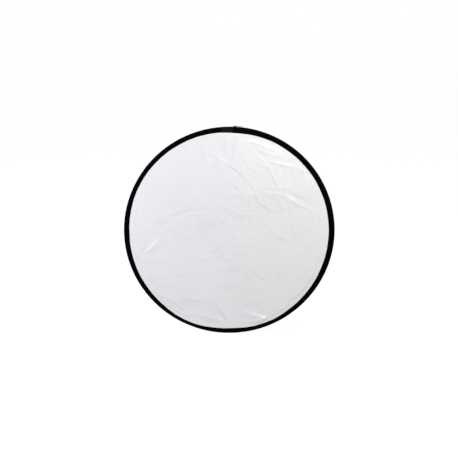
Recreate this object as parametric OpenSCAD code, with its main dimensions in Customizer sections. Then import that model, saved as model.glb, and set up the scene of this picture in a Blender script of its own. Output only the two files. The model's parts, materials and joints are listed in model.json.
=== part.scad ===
// Collapsible reflector disc with a zip-off cover.
// A spring-steel hoop stretches a translucent diffuser, and a double-faced cover zips over it.
// The disc stands upright: its axis is Y, its white face looks along -Y and its label is at the top (+Z).
// Every piece is drawn lying down, in a local frame where Z is the disc's axis and +Z its white face.
// Angles run counter-clockwise from the right, as seen from the white face.

/* [Disc] */
// Outside diameter over the closed zip
disc_d = 800; // [560:10:1100]
// Width of the black binding as seen from the front
binding_w = 19; // [16:0.5:24]
// Thickness of the rim, face to face
rim_t = 11.8; // [11.8:0.2:16]

/* [Hoop] */
// Radial thickness of the spring-steel band
hoop_t = 0.7; // [0.4:0.1:1]
// Width of the spring-steel band along the disc's axis
hoop_w = 6.5; // [5:0.5:6.5]
// Angle at which the ends of the band meet
hoop_joint_a = 215; // [170:5:260]

/* [Cloth] */
// Thickness of a cover panel
panel_t = 0.3; // [0.2:0.05:0.3]
// Thickness of the metallised lining behind each panel
lining_t = 0.25; // [0.15:0.05:0.25]
// Thickness of the binding tape
binding_t = 0.7; // [0.5:0.1:0.7]

/* [Zip] */
// Angle of the closed end of the zip
zip_top_a = 88.35; // [80:0.05:90]
// Angle that the slider travels from closed to open
zip_travel = 120; // [90:5:120]
// Length of the pull tab
pull_l = 28; // [20:1:40]

/* [Fold] */
// Direction of the diameter that the disc folds across
fold_a = 120; // [115:1:125]
// Furthest fold either way from flat
fold_max = 120; // [90:5:150]

/* [Hidden] */
$fn = 96;

// Outside radius, at the top of the zip coils
disc_r = disc_d / 2;
face_z = rim_t / 2;
sew_z = face_z - binding_t;

// Rim edge: the coils stand on the tape, and the tape turns the corner under the binding
coil_h = 1.8;
coil_w = 2.1;
coil_gap = 0.5;
stop_proud = 0.3;
tape_t = 0.5;
tape_r = disc_r - coil_h;
corner_r = 2.6;
corner_inner_r = corner_r - binding_t;
tape_clear = 0.05;
corner_cr = tape_r - (corner_inner_r - tape_clear);
corner_cz = face_z - corner_r;
binding_end_a = 25;
tape_end_a = 60;
binding_inset = 1.1;
binding_in_r = disc_r - binding_inset - binding_w;
panel_r = disc_r - 9;
lining_r = panel_r - 2;

// Hoop and the sleeve that holds it
hoop_inset = 12;
hoop_r = disc_r - hoop_inset;
hoop_end_gap = 1;
ferrule_l = 30;
ferrule_t = 0.35;
ferrule_clear = 0.05;
sleeve_t = 0.5;
sleeve_clear = 0.2;
sleeve_in_z = hoop_w / 2 + ferrule_clear + ferrule_t + sleeve_clear;
sleeve_out_z = sleeve_in_z + sleeve_t;
sleeve_in_r = hoop_r + hoop_t + ferrule_t + sleeve_clear;
sleeve_slope = 1.5;
sleeve_bevel = 0.3;
jaw_in_r = hoop_r - 16;
jaw_out_r = hoop_r - 4.5;
jaw_stitch_r = jaw_in_r + 2.5;
jaw_gap = 0.2;
diffuser_t = 0.3;
diffuser_r = jaw_out_r - 0.5;

// Stitching: thread lies flush in a groove of the tape
thread_w = 0.6;
thread_t = 0.25;
stitch_rows = [binding_in_r + 2, binding_in_r + 13.1];

// Zip
slider_l = 11;
arc_deg = 180 / (PI * disc_r);
stop_a = 0.45;
stop_gap_a = 0.05;
stop_side = 0.2;
tab_gap_a = 0.1;
gusset_lap = 0.1;
slider_a = zip_top_a - stop_a - 2 * stop_gap_a - slider_l * arc_deg / 2;
coil_top_a = zip_top_a - stop_a;
coil_end_a = slider_a - zip_travel - slider_l * arc_deg / 2 - stop_a;
tab_a = 1.9;
tape_top_a = zip_top_a + tab_a + tab_gap_a;
tape_bottom_a = coil_end_a - stop_a - stop_gap_a - tab_gap_a - tab_a;
slider_half_w = 3.9;
slider_tail_half_w = 3.3;
slider_neck_half_w = 3.2;
flange_in = 2.85;
flange_gap = 0.25;
plate_gap = 0.15;
plate_in_r = tape_r - tape_t - plate_gap;
plate_out_r = disc_r + plate_gap;
plate_t = 1.1;
post_half_w = 0.35;
post_l = 3.2;
post_sink = 0.2;
bridge_l = 8;
bridge_half_w = 0.9;
bridge_h = 2.2;
bridge_foot = 1;
bridge_roof = 0.6;
bar_r = 0.55;
pull_t = 1.2;
pull_half_w = 3;
pull_slot_half_w = 1.15;
pull_slot_l = 4.7;
pull_round = 2.2;
hole_inset = 0.6;
bar_h = plate_out_r + plate_t + 0.8;

// Label on the front binding
label_a0 = 88.0;
label_a1 = 94.2;
label_t = 0.35;
label_thread_in = 0.7;
label_thread_w = 0.4;
label_thread_t = 0.15;
label_in_r = binding_in_r + 0.8;
label_out_r = disc_r - 4;

// Fold: both halves are cut back to a wedge, so that they clear each other at the furthest fold
fold_gap = 0.5;
wedge_a = 90 - fold_max / 2 - 1;
cut_reach = disc_r + 20;

// Stands the lying disc up
module stood_up() {
    rotate([90, 0, 0]) children();
}

// Profile given as radius and height, turned from one angle to another
module ring(from = 0, to = 360) {
    rotate([0, 0, from]) rotate_extrude(angle = to - from) children();
}

// The part of a shape on one side of the fold line: side is 1 for right and -1 for left
module half(side) {
    edge_z = cut_reach * tan(wedge_a);
    intersection() {
        children();
        rotate([0, 0, fold_a - 90]) rotate([90, 0, 0])
            linear_extrude(height = 2 * cut_reach, center = true)
                polygon([[side * fold_gap, 0], [side * cut_reach, edge_z], [side * cut_reach, -edge_z]]);
    }
}

module rect(r0, z0, r1, z1) {
    translate([r0, z0]) square([r1 - r0, z1 - z0]);
}

// Quarter of a tube's profile round the rim's corner, from the edge (0) up to an angle
module corner_arc(r_in, r_out, a0, a1) {
    translate([corner_cr, corner_cz]) intersection() {
        difference() {
            circle(r = r_out);
            circle(r = r_in);
        }
        polygon([[0, 0], 2 * r_out * [cos(a0), sin(a0)],
            3 * r_out * [cos((a0 + a1) / 2), sin((a0 + a1) / 2)], 2 * r_out * [cos(a1), sin(a1)]]);
    }
}

/* ---- Hoop ---- */

module hoop(side) {
    color("silver") half(side) difference() {
        ring() rect(hoop_r, -hoop_w / 2, hoop_r + hoop_t, hoop_w / 2);
        rotate([0, 0, hoop_joint_a])
            translate([hoop_r - 5, -hoop_end_gap / 2, -hoop_w]) cube([10, hoop_end_gap, 2 * hoop_w]);
    }
}

// Flat sleeve crimped over the two ends of the band
module hoop_ferrule() {
    reach = ferrule_l * arc_deg / 2;
    inner = hoop_w / 2 + ferrule_clear;
    outer = inner + ferrule_t;
    inner_r = hoop_r - ferrule_clear;
    outer_r = hoop_r + hoop_t + ferrule_clear;
    color("gray") ring(hoop_joint_a - reach, hoop_joint_a + reach) difference() {
        rect(inner_r - ferrule_t, -outer, outer_r + ferrule_t, outer);
        rect(inner_r, -inner, outer_r, inner);
    }
}

/* ---- Diffuser ---- */

module diffuser_panel(side) {
    color("whitesmoke") half(side)
        translate([0, 0, -diffuser_t / 2]) cylinder(r = diffuser_r, h = diffuser_t);
}

// One side of the folded tape that holds the hoop and is sewn to the diffuser, as a list of points
function sleeve_outside(s) = [
    [jaw_in_r, s * (jaw_gap + sleeve_t)], [jaw_out_r - sleeve_bevel, s * (jaw_gap + sleeve_t)],
    [hoop_r - sleeve_slope, s * sleeve_out_z], [sleeve_in_r + sleeve_t, s * sleeve_out_z]];
function sleeve_inside(s) = [
    [sleeve_in_r, s * sleeve_in_z], [hoop_r - sleeve_slope + sleeve_bevel, s * sleeve_in_z],
    [jaw_out_r, s * jaw_gap], [jaw_in_r, s * jaw_gap]];
function backwards(list) = [for (i = [len(list) - 1:-1:0]) list[i]];

module diffuser_binding(side) {
    color("dimgray") half(side) ring() difference() {
        polygon(concat(sleeve_outside(1), sleeve_inside(1), backwards(sleeve_inside(-1)),
            backwards(sleeve_outside(-1))));
        stitch_line(jaw_stitch_r, jaw_gap + sleeve_t);
        mirror([0, 1]) stitch_line(jaw_stitch_r, jaw_gap + sleeve_t);
    }
}

// Section of a row of thread, flush with a cloth surface at height z
module stitch_line(r, z) {
    rect(r, z - thread_t, r + thread_w, z);
}

module diffuser_stitching(side) {
    color("black") half(side) ring() for (s = [0, 1])
        mirror([0, s]) stitch_line(jaw_stitch_r, jaw_gap + sleeve_t);
}

/* ---- Cover: the back is the front's mirror image ---- */

module face(front) {
    mirror([0, 0, front ? 0 : 1]) children();
}

module panel(side, front) {
    color(front ? "white" : "black") half(side) face(front)
        translate([0, 0, sew_z - panel_t]) cylinder(r = panel_r, h = panel_t);
}

module lining(side, front) {
    color(front ? "silver" : "gold") half(side) face(front)
        translate([0, 0, sew_z - panel_t - lining_t - tape_clear]) cylinder(r = lining_r, h = lining_t);
}

module binding(side, front) {
    color("black") half(side) face(front) ring() union() {
        difference() {
            rect(binding_in_r, sew_z, corner_cr, face_z);
            for (r = stitch_rows) stitch_line(r, face_z);
        }
        corner_arc(corner_inner_r, corner_r, binding_end_a, 90);
    }
}

module stitching(side, front) {
    color("dimgray") half(side) face(front) ring() for (r = stitch_rows) stitch_line(r, face_z);
}

// Half of the edge: a wall that starts at height z0 and turns in under the binding
module edge_profile(z0) {
    union() {
        rect(tape_r - tape_t, z0, tape_r, corner_cz);
        corner_arc(corner_inner_r - tape_clear - tape_t, corner_inner_r - tape_clear, 0, tape_end_a);
    }
}

// Plain tape that closes the edge where there is no zip
module edge_gusset(side) {
    last_a = tape_bottom_a + 360 - tab_gap_a;
    color("black") half(side) ring(tape_top_a + tab_gap_a, last_a) union() {
        edge_profile(-gusset_lap);
        mirror([0, 1]) edge_profile(-gusset_lap);
    }
}

/* ---- Zip ---- */

module zip_tape(front) {
    color("black") face(front) ring(tape_bottom_a, tape_top_a) edge_profile(coil_gap);
}

// Envelope of one row of coil teeth
module zip_coil(front) {
    bevel = 0.5;
    color("black") face(front) ring(coil_end_a, coil_top_a)
        polygon([[tape_r, coil_gap], [tape_r, coil_gap + coil_w], [disc_r - bevel, coil_gap + coil_w],
            [disc_r, coil_gap + coil_w - bevel], [disc_r, coil_gap + bevel], [disc_r - bevel, coil_gap]]);
}

module zip_top_stops() {
    color("dimgray") for (front = [true, false]) face(front)
        ring(coil_top_a + stop_gap_a, zip_top_a - stop_gap_a)
            rect(tape_r, coil_gap, disc_r + stop_proud, coil_gap + coil_w + stop_side);
}

module zip_bottom_stop() {
    half_w = coil_gap + coil_w + stop_side;
    color("dimgray") ring(coil_end_a - stop_a, coil_end_a - stop_gap_a)
        rect(tape_r, -half_w, disc_r + stop_proud, half_w);
}

// Cloth tabs sewn over both ends of the zip
module zip_end_tabs() {
    tab_half_w = 3.9;
    tab_t = 0.7;
    first_a = coil_end_a - stop_a - stop_gap_a - tab_gap_a - tab_a;
    color("black") for (a = [zip_top_a + tab_gap_a, first_a])
        ring(a, a + tab_a) rect(tape_r, -tab_half_w, tape_r + tab_t, tab_half_w);
}

// Places a piece drawn with X along the rim towards the open end, Y outwards and Z along the disc's axis
module at_slider() {
    rotate([0, 0, slider_a - 90]) children();
}

// Plan of the slider: wide at its mouths, narrower at its tail
module slider_plan() {
    round_r = 1;
    reach = slider_l / 2 - round_r;
    at_slider() rotate([-90, 0, 0]) linear_extrude(height = cut_reach) hull() for (s = [-1, 1]) {
        translate([-reach, s * (slider_half_w - round_r)]) circle(r = round_r, $fn = 32);
        translate([reach, s * (slider_tail_half_w - round_r)]) circle(r = round_r, $fn = 32);
    }
}

module slider_body() {
    reach = slider_l * arc_deg / 2;
    color("dimgray") union() {
        intersection() {
            ring(slider_a - reach, slider_a + reach) difference() {
                rect(tape_r + flange_gap, -slider_half_w, plate_out_r + plate_t, slider_half_w);
                rect(tape_r, -flange_in, plate_out_r, flange_in);
            }
            slider_plan();
        }
        ring(slider_a - reach, slider_a + reach)
            rect(plate_in_r - plate_t, -slider_neck_half_w, plate_in_r, slider_neck_half_w);
        ring(slider_a + reach - post_l * arc_deg, slider_a + reach)
            rect(plate_in_r - post_sink, -post_half_w, plate_out_r + post_sink, post_half_w);
    }
}

// Bridge over the pull tab's bar, staked into the slider's top plate
module slider_bridge() {
    top = plate_out_r + plate_t;
    sink = 0.1;
    color("dimgray") at_slider() translate([0, 0, -bridge_half_w])
        linear_extrude(height = 2 * bridge_half_w) difference() {
            translate([-bridge_l / 2, top - sink]) square([bridge_l, bridge_h + sink]);
            translate([-bridge_l / 2 + bridge_foot, top - 2 * sink])
                square([bridge_l - 2 * bridge_foot, bridge_h - bridge_roof + 2 * sink]);
        }
}

// Metal tab: a bar through the bridge, two arms and a rounded grip
module pull_tab() {
    color("gray") at_slider() translate([0, bar_h, 0]) union() {
        cylinder(r = bar_r, h = 2 * pull_half_w, center = true);
        rotate([90, 0, 0]) translate([0, 0, -pull_t / 2]) linear_extrude(height = pull_t) difference() {
            union() {
                translate([0, -pull_half_w]) square([pull_l - pull_half_w, 2 * pull_half_w]);
                translate([pull_l - pull_half_w, 0]) circle(r = pull_half_w);
            }
            translate([-bar_r * 2, -pull_slot_half_w])
                square([pull_slot_l + bar_r * 2, 2 * pull_slot_half_w]);
            translate([pull_l - pull_half_w - hole_inset, 0]) circle(r = pull_round / 2);
        }
    }
}

/* ---- Label ---- */

module label_patch(margin, z, t) {
    turn = margin * arc_deg;
    ring(label_a0 + turn, label_a1 - turn) rect(label_in_r + margin, z, label_out_r - margin, z + t);
}

module label() {
    color("darkslategray") label_patch(0, face_z, label_t);
}

// Square of thread round the label's edge
module label_stitching() {
    color("gray") difference() {
        label_patch(label_thread_in, face_z + label_t, label_thread_t);
        label_patch(label_thread_in + label_thread_w, face_z, 3 * label_t);
    }
}

/* ---- Nodes ---- */

stood_up() hoop(1);  // hoop_right
stood_up() hoop(-1);  // hoop_left
stood_up() hoop_ferrule();
stood_up() diffuser_panel(1);  // diffuser_panel_right
stood_up() diffuser_panel(-1);  // diffuser_panel_left
stood_up() diffuser_binding(1);  // diffuser_binding_right
stood_up() diffuser_binding(-1);  // diffuser_binding_left
stood_up() diffuser_stitching(1);  // diffuser_stitching_right
stood_up() diffuser_stitching(-1);  // diffuser_stitching_left
stood_up() panel(1, true);  // front_panel_right
stood_up() panel(-1, true);  // front_panel_left
stood_up() lining(1, true);  // front_lining_right
stood_up() lining(-1, true);  // front_lining_left
stood_up() panel(1, false);  // back_panel_right
stood_up() panel(-1, false);  // back_panel_left
stood_up() lining(1, false);  // back_lining_right
stood_up() lining(-1, false);  // back_lining_left
stood_up() binding(1, true);  // front_binding_right
stood_up() binding(-1, true);  // front_binding_left
stood_up() binding(1, false);  // back_binding_right
stood_up() binding(-1, false);  // back_binding_left
stood_up() stitching(1, true);  // front_stitching_right
stood_up() stitching(-1, true);  // front_stitching_left
stood_up() stitching(1, false);  // back_stitching_right
stood_up() stitching(-1, false);  // back_stitching_left
stood_up() edge_gusset(1);  // edge_gusset_right
stood_up() edge_gusset(-1);  // edge_gusset_left
stood_up() zip_tape(true);  // zip_tape_front
stood_up() zip_tape(false);  // zip_tape_back
stood_up() zip_coil(true);  // zip_coil_front
stood_up() zip_coil(false);  // zip_coil_back
stood_up() zip_top_stops();
stood_up() zip_bottom_stop();
stood_up() zip_end_tabs();
stood_up() slider_body();
stood_up() slider_bridge();
stood_up() pull_tab();
stood_up() label();
stood_up() label_stitching();
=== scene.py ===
"""Collapsible reflector disc: white satin face, black bound rim with a zip, black back, and inside
a hoop and a diffuser.

Every length is in metres, in the CAD frame: the disc's axis is Y and its white face looks along -Y.
A point on the disc is given by its radius, its angle (from +X towards +Z) and its depth (along -Y).
"""

import json
import math

import bmesh
import bpy
import numpy as np
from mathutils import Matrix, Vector

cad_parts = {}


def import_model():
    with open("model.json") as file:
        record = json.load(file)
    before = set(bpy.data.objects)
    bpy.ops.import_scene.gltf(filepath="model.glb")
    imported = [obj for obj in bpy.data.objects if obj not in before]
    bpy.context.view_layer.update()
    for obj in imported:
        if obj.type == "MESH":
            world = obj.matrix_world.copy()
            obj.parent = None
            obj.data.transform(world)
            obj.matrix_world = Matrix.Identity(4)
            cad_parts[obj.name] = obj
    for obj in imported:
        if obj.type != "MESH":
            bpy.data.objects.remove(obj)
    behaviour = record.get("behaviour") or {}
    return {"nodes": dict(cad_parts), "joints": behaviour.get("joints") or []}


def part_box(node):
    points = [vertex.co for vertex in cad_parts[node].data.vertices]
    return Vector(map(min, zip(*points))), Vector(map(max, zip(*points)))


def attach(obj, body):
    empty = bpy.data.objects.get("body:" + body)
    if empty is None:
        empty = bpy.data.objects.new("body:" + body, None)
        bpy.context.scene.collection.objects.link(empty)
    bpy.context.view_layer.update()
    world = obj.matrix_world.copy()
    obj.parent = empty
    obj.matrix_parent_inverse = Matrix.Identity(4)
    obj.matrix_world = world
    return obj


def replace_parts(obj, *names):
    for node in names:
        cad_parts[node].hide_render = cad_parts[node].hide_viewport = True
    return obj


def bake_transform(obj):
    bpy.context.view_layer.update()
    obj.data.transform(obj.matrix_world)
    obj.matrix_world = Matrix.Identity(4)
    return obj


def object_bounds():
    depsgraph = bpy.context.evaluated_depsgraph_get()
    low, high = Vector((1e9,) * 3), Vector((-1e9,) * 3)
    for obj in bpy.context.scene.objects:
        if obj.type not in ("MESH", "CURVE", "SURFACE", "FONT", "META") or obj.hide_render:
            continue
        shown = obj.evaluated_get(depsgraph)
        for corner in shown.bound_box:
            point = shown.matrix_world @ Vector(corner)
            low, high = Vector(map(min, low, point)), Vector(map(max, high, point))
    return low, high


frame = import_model()
cad_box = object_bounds()

MM = 0.001
TURN = 2 * math.pi


# ---- Sizes read from the CAD frame ----

def joint(name):
    return next(j for j in frame["joints"] if j["name"] == name)


def radii(node):
    """Smallest and largest distance of a CAD node's points from the disc's axis."""
    points = np.array([v.co for v in frame["nodes"][node].data.vertices])
    reach = np.hypot(points[:, 0], points[:, 2])
    return reach.min(), reach.max()


def span(node):
    """First and last angle of a CAD node, counted from the fold line's lower end."""
    points = np.array([v.co for v in frame["nodes"][node].data.vertices])
    angles = np.arctan2(points[:, 2], points[:, 0])
    return angles.min(), angles.max()


FACE_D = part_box("front_binding_right")[0].y * -1
CLOTH_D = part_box("front_panel_right")[0].y * -1
LINING_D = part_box("front_lining_right")[0].y * -1
CLOTH_R = radii("front_panel_left")[1]
LINING_R = radii("front_lining_left")[1]
BINDING_R = radii("front_binding_left")[0]
CORNER_R = 2.6 * MM
RIM_R = radii("edge_gusset_left")[1]
COIL_R = radii("zip_coil_front")[1]
TAPE_T = 0.7 * MM
EDGE_R, EDGE_T = 1.85 * MM, 0.5 * MM
CORNER_CENTRE = (RIM_R - EDGE_R, FACE_D - CORNER_R)
ZIP_GAP = 0.002
ZIP_ENDS = span("zip_tape_front")
COIL_ENDS = span("zip_coil_front")
SLIDER_A = float(np.mean(span("slider_bridge")))
LABEL_ENDS = span("label")
HOOP_R = radii("hoop_left")
HOOP_HALF_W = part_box("hoop_left")[1].y
DIFFUSER_R = radii("diffuser_panel_left")[1]


# ---- Mesh helpers ----

def at(r, a, d):
    """Points of the disc from radius, angle and depth."""
    r, a, d = np.broadcast_arrays(r, a, d)
    return np.stack([r * np.cos(a), -d, r * np.sin(a)], axis=-1)


def quads(rows, cols, wrap_rows=False, wrap_cols=False, start=0):
    """Faces of a grid of rows by cols points."""
    i, j = np.meshgrid(np.arange(rows - (not wrap_rows)), np.arange(cols - (not wrap_cols)), indexing="ij")
    i, j, i2, j2 = i.ravel(), j.ravel(), (i.ravel() + 1) % rows, (j.ravel() + 1) % cols
    return (np.stack([i * cols + j, i2 * cols + j, i2 * cols + j2, i * cols + j2], axis=1) + start).tolist()


def end_caps(rows, cols):
    """The two faces that close the ends of a tube with cols points round it."""
    return [list(range(cols)), list(range((rows - 1) * cols, rows * cols))]


def piece(name, points, faces, material, cloth=None, wear=None):
    """A mesh object. cloth is each point's place on its flat cloth, wear how rubbed it is."""
    mesh = bpy.data.meshes.new(name)
    mesh.from_pydata(np.asarray(points).reshape(-1, 3).tolist(), [], faces)
    for title, values, kind, field in (
        ("cloth", cloth, "FLOAT_VECTOR", "vector"), ("wear", wear, "FLOAT", "value"),
    ):
        if values is not None:
            attribute = mesh.attributes.new(title, kind, "POINT")
            attribute.data.foreach_set(field, np.asarray(values, np.float32).ravel())
    mesh.polygons.foreach_set("use_smooth", [True] * len(mesh.polygons))
    mesh.materials.append(material)
    obj = bpy.data.objects.new(name, mesh)
    bpy.context.scene.collection.objects.link(obj)
    outward(obj)
    return obj


def outward(obj, weld=False):
    """Turns the faces of a closed mesh outwards. weld first closes the seams of a plate's rounded edge."""
    bm = bmesh.new()
    bm.from_mesh(obj.data)
    if weld:
        bmesh.ops.remove_doubles(bm, verts=bm.verts, dist=1e-6)
    bmesh.ops.recalc_face_normals(bm, faces=bm.faces)
    bm.to_mesh(obj.data)
    bm.free()
    return obj


def sweep(name, angles, section, material, whole=False, wear=None):
    """A closed section, (angles, points, 2) of radius and depth, carried round the disc."""
    rows, cols = section.shape[:2]
    points = at(section[..., 0], angles[:, None], section[..., 1])
    faces = quads(rows, cols, whole, True)
    if not whole:
        faces += [list(range(cols)), [(rows - 1) * cols + k for k in range(cols)][::-1]]
    steps = np.hypot(*np.moveaxis(np.diff(section, axis=1, prepend=section[:, -1:]), -1, 0))
    around = np.cumsum(steps, axis=1)
    along = np.broadcast_to(angles[:, None] * RIM_R, around.shape)
    cloth = np.stack([along, around, np.zeros_like(around)], axis=-1)
    wear = None if wear is None else np.broadcast_to(wear, (rows, cols))
    return piece(name, points, faces, material, cloth, wear)


def repeated(name, template, faces, origins, axes, material):
    """One mesh of many copies of a template, each placed at its origin along its own three axes."""
    points = origins[:, None] + np.einsum("pk,nkc->npc", template, axes)
    count = len(template)
    every = [[v + n * count for v in f] for n in range(len(origins)) for f in faces]
    along = np.broadcast_to(template[None], points.shape)
    return piece(name, points, every, material, cloth=along)


def across_fold(obj, *nodes):
    """A piece that lies across the disc's fold line, its place baked into its mesh, in place of both
    halves' nodes.
    """
    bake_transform(obj)
    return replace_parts(obj, *nodes)


def both(node):
    return [node + "_right", node + "_left"]


def coated(node, material):
    """Gives a CAD node that is shown as it is its material."""
    frame["nodes"][node].data.materials.clear()
    frame["nodes"][node].data.materials.append(material)


# ---- Materials ----

class Paint:
    """A Principled material under construction."""

    def __init__(self, name, colour, roughness, **fixed):
        self.material = bpy.data.materials.new(name)
        self.material.use_nodes = True
        self.material.diffuse_color = (*colour, 1)
        self.nodes = self.material.node_tree.nodes
        self.links = self.material.node_tree.links
        self.shader = self.nodes["Principled BSDF"]
        self.set("Base Color", (*colour, 1))
        self.set("Roughness", roughness)
        for socket, value in fixed.items():
            self.set(socket.replace("_", " "), value)

    def set(self, socket, value):
        self.shader.inputs[socket].default_value = value

    def link(self, value, socket):
        self.links.new(value, self.shader.inputs[socket])

    def colour(self, factor, dark, light):
        self.link(self.blend_colours(factor, rgba(*dark), rgba(*light)), "Base Color")

    def relief(self, height, depth, strength, on=None):
        self.link(self.bump(height, depth, strength, on), "Normal")

    def rough(self, factor, low, high, at_low, at_high):
        self.link(self.ramp(factor, low, high, at_low, at_high), "Roughness")

    def node(self, kind, inputs=None, **settings):
        node = self.nodes.new("ShaderNode" + kind)
        for key, value in settings.items():
            setattr(node, key, value)
        for key, value in (inputs or {}).items():
            if isinstance(value, bpy.types.NodeSocket):
                self.links.new(value, node.inputs[key])
            else:
                node.inputs[key].default_value = value
        return node

    def attribute(self, name):
        return self.node("Attribute", attribute_name=name)

    def cloth(self):
        return self.attribute("cloth").outputs["Vector"]

    def place(self):
        return self.node("TexCoord").outputs["Object"]

    def stretched(self, vector, scale):
        return self.node("Mapping", {"Vector": vector, "Scale": scale}).outputs["Vector"]

    def noise(self, vector, scale, detail=3.0, roughness=0.5):
        inputs = {"Vector": vector, "Scale": scale, "Detail": detail, "Roughness": roughness}
        return self.node("TexNoise", inputs).outputs["Fac"]

    def bands(self, vector, pitch, direction, distortion=0.3):
        """Ridges every pitch metres along one axis of vector."""
        # a wave texture repeats every 2 pi / 20 units at a scale of 1
        scale = TURN / 20 / pitch
        inputs = {"Vector": vector, "Scale": scale, "Distortion": distortion, "Detail Scale": 2.0}
        return self.node("TexWave", inputs, wave_type="BANDS", bands_direction=direction).outputs["Fac"]

    def math(self, operation, a, b=0.5):
        return self.node("Math", {0: a, 1: b}, operation=operation).outputs[0]

    def ramp(self, factor, low, high, at_low=0.0, at_high=1.0):
        """factor from at_low to at_high, as it goes from low to high."""
        inputs = {"Value": factor, "From Min": low, "From Max": high, "To Min": at_low, "To Max": at_high}
        return self.node("MapRange", inputs).outputs["Result"]

    def blend_colours(self, factor, first, second):
        inputs = {0: factor, 6: first, 7: second}
        node = self.node("Mix", inputs, data_type="RGBA")
        return node.outputs[2]

    def bump(self, height, depth, strength=1.0, on=None):
        inputs = {"Height": height, "Distance": depth, "Strength": strength}
        if on is not None:
            inputs["Normal"] = on
        return self.node("Bump", inputs).outputs["Normal"]


def rgba(r, g, b):
    return (r, g, b, 1.0)


def woven(name, dark, light, pitch, roughness, depth, ribs=1.0, **fixed):
    """Plain cloth: threads both ways, uneven dye, and rubbed places where wear is high."""
    paint = Paint(name, light, roughness, **fixed)
    flat = paint.cloth()
    warp = paint.bands(flat, pitch, "X")
    weft = paint.bands(flat, pitch * ribs, "Y")
    weave = paint.math("MULTIPLY", warp, weft)
    tone = paint.noise(paint.place(), 6.0)
    slub = paint.noise(paint.stretched(flat, (60, 900, 1)), 1.0)
    mixed = paint.math("MULTIPLY_ADD", tone, slub)
    rubbed = paint.math("MULTIPLY", paint.attribute("wear").outputs["Fac"], paint.ramp(slub, 0.4, 0.7))
    shade = paint.math("ADD", mixed, rubbed)
    paint.colour(shade, dark, light)
    paint.rough(slub, 0.3, 0.7, roughness - 0.06, roughness + 0.06)
    fuzz = paint.bump(paint.noise(flat, 700), depth * 0.4, 0.6)
    paint.relief(weave, depth, 0.8, fuzz)
    return paint.material


def satin(name, dark, light, roughness, **fixed):
    """Smooth satin weave: long floats in a fine diagonal, faint slubs along the warp."""
    paint = Paint(name, light, roughness, **fixed)
    flat = paint.cloth()
    twill = paint.bands(flat, 0.7 * MM, "DIAGONAL", 0.6)
    slub = paint.noise(paint.stretched(flat, (25, 420, 1)), 1.0, 4.0)
    tone = paint.noise(paint.place(), 4.0, 2.0)
    shade = paint.math("MULTIPLY_ADD", tone, slub)
    paint.colour(paint.ramp(shade, 0.3, 1.1), dark, light)
    paint.rough(slub, 0.35, 0.65, roughness - 0.05, roughness + 0.05)
    drift = paint.node("TexNoise", {"Vector": flat, "Scale": 16.0, "Detail": 2.0}).outputs["Color"]
    bend = {0: drift, 1: (0.05, 0.05, 0), 2: flat}
    bent = paint.node("VectorMath", bend, operation="MULTIPLY_ADD").outputs[0]
    cells = paint.node("TexVoronoi", {"Vector": bent, "Scale": 23.0}, feature="DISTANCE_TO_EDGE")
    where = paint.ramp(paint.noise(flat, 7, 2.0), 0.42, 0.62)
    lines = paint.ramp(cells.outputs["Distance"], 0.0, 0.12, 1.0, 0.0)
    crumple = paint.bump(paint.math("MULTIPLY", lines, where), 0.8 * MM, 1.0)
    grain = paint.bump(slub, 0.06 * MM, 0.5, crumple)
    paint.relief(twill, 0.05 * MM, 0.5, grain)
    return paint.material


def foil(name, dark, light):
    """Metallised cloth: shiny, with a crinkled coat."""
    paint = Paint(name, light, 0.34, Metallic=0.9)
    flat = paint.cloth()
    crinkle = paint.node("TexVoronoi", {"Vector": flat, "Scale": 260.0}).outputs["Distance"]
    tone = paint.noise(flat, 30, 4.0)
    paint.colour(tone, dark, light)
    paint.rough(tone, 0.3, 0.7, 0.26, 0.42)
    weave = paint.bump(paint.bands(flat, 0.6 * MM, "X"), 0.05 * MM, 0.6)
    paint.relief(crinkle, 0.25 * MM, 0.6, weave)
    return paint.material


def thread(name, dark, light):
    """Twisted sewing thread: its strands lie slantwise along each stitch, with painted shade in the grooves
    between them.
    """
    paint = Paint(name, light, 0.55, Specular_IOR_Level=0.15)
    flat = paint.cloth()
    strands_and_groove_shade = paint.bands(flat, 0.45 * MM, "DIAGONAL", 0.0)
    # painted shade: the colour follows the strands' relief, darker in the grooves between strands and
    # lighter on their crests
    paint.colour(strands_and_groove_shade, dark, light)
    paint.rough(paint.noise(flat, 900), 0.3, 0.7, 0.45, 0.65)
    paint.relief(strands_and_groove_shade, 0.12 * MM, 0.8)
    return paint.material


def plastic(name, dark, light):
    """Moulded nylon with fine scuffs."""
    paint = Paint(name, light, 0.4)
    where = paint.place()
    scuff = paint.noise(where, 900, 5.0, 0.7)
    paint.colour(scuff, dark, light)
    paint.rough(scuff, 0.3, 0.7, 0.3, 0.5)
    paint.relief(scuff, 0.03 * MM, 0.5)
    return paint.material


def enamel(name, dark, light):
    """Black enamel on zinc, chipped to bare metal where it is rubbed."""
    paint = Paint(name, light, 0.35, Coat_Weight=0.3)
    where = paint.place()
    peel = paint.noise(where, 1800, 2.0)
    chips = paint.noise(where, 650, 5.0, 0.7)
    edge = paint.ramp(paint.node("NewGeometry").outputs["Pointiness"], 0.52, 0.6)
    bare = paint.ramp(paint.math("MULTIPLY", edge, chips), 0.3, 0.42)
    coat = paint.blend_colours(peel, rgba(*dark), rgba(*light))
    paint.link(paint.blend_colours(bare, coat, rgba(0.38, 0.38, 0.37)), "Base Color")
    paint.link(bare, "Metallic")
    paint.rough(chips, 0.3, 0.7, 0.28, 0.46)
    paint.relief(peel, 0.02 * MM, 0.5)
    return paint.material


def steel(name, dark, light, stretch):
    """Rolled steel: fine lines along its length and faint heat tint."""
    paint = Paint(name, light, 0.3, Metallic=1.0, Anisotropic=0.4)
    lines = paint.noise(paint.stretched(paint.cloth(), stretch), 1.0, 4.0, 0.7)
    tint = paint.noise(paint.place(), 40)
    shade = paint.math("MULTIPLY_ADD", tint, lines)
    paint.colour(shade, dark, light)
    paint.rough(lines, 0.3, 0.7, 0.22, 0.4)
    paint.relief(lines, 0.02 * MM, 0.5)
    return paint.material


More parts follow.
